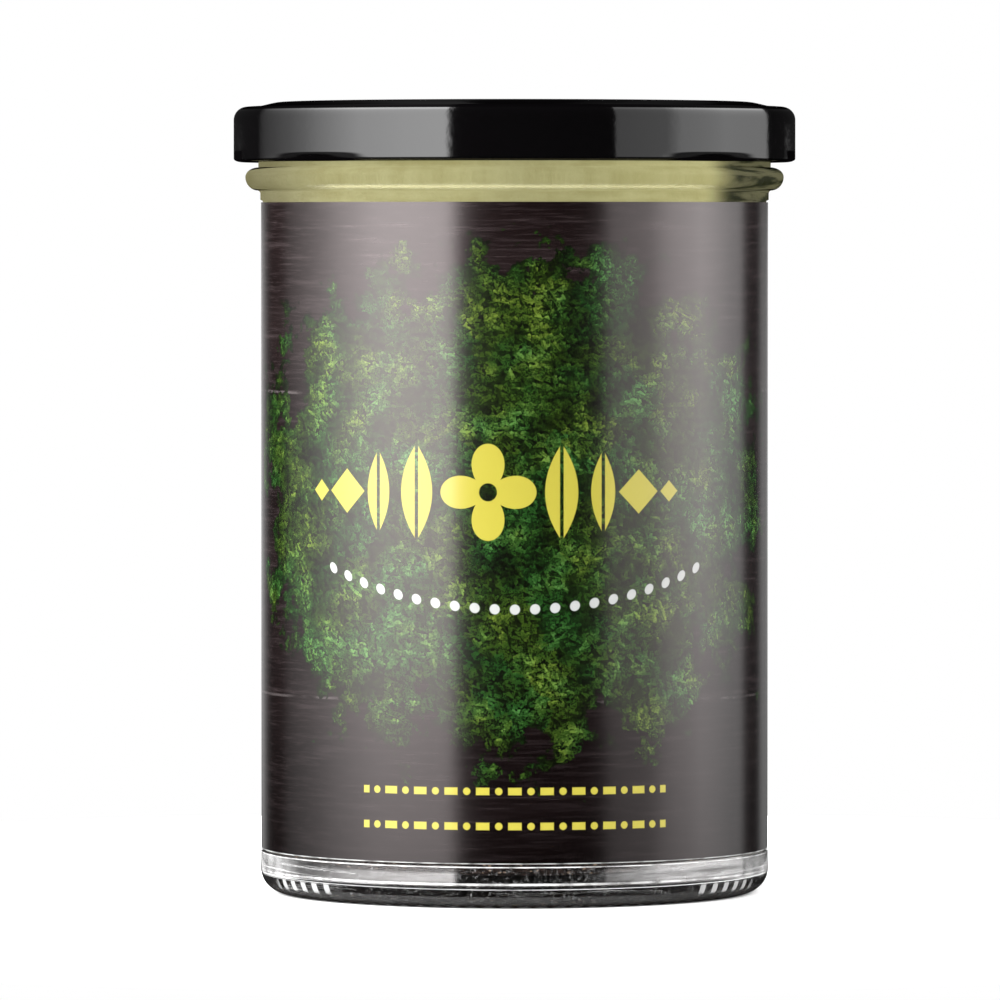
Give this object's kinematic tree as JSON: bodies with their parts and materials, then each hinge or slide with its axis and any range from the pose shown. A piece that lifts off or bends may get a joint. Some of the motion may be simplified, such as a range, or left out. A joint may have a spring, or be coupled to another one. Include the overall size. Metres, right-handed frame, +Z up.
{
  "type": "glass growing jar with a twist-off lid",
  "caption": "Straight glass jar with a wrap-round printed label and a black twist-off lid that unscrews, filled with growing medium, a sown mat and loose mulch.",
  "frame": {"origin": "on the surface the jar stands on, in the middle of its foot ring", "axes": "+Z up along the jar's axis, -Y out through the middle of the label's front, +X to the right seen from the front"},
  "size_m": [0.0856, 0.0856, 0.1203],
  "materials": {
    "glass": "clear pressed glass",
    "print": "printed film label, varnished",
    "lacquer": "gloss black lacquer on tinplate",
    "sealant": "soft matt sealing compound",
    "medium": "coarse dark fibre",
    "sown": "pressed fibre mat with seeds",
    "mulch": "dry pale fibre"
  },
  "bodies": {
    "jar": {"jar": "glass", "label": "print", "growing_medium": "medium", "seed_mat": "sown", "mulch": "mulch"},
    "seal": {"seal_ring": "sealant"},
    "lid": {"lid": "lacquer"}
  },
  "joints": [
    {"name": "lid_rise", "type": "slide", "parent": "jar", "child": "seal", "axis": [0, 0, 1], "range_m": [0, 0.0025]},
    {"name": "lid_turn", "type": "hinge", "parent": "seal", "child": "lid", "pos_m": [0, 0, 0.1196], "axis": [0, 0, 1], "range_deg": [0, 68]}
  ],
  "couplings": [
    {"joint": "lid_rise", "follows": "lid_turn", "m_per_rad": 0.0020213}
  ]
}
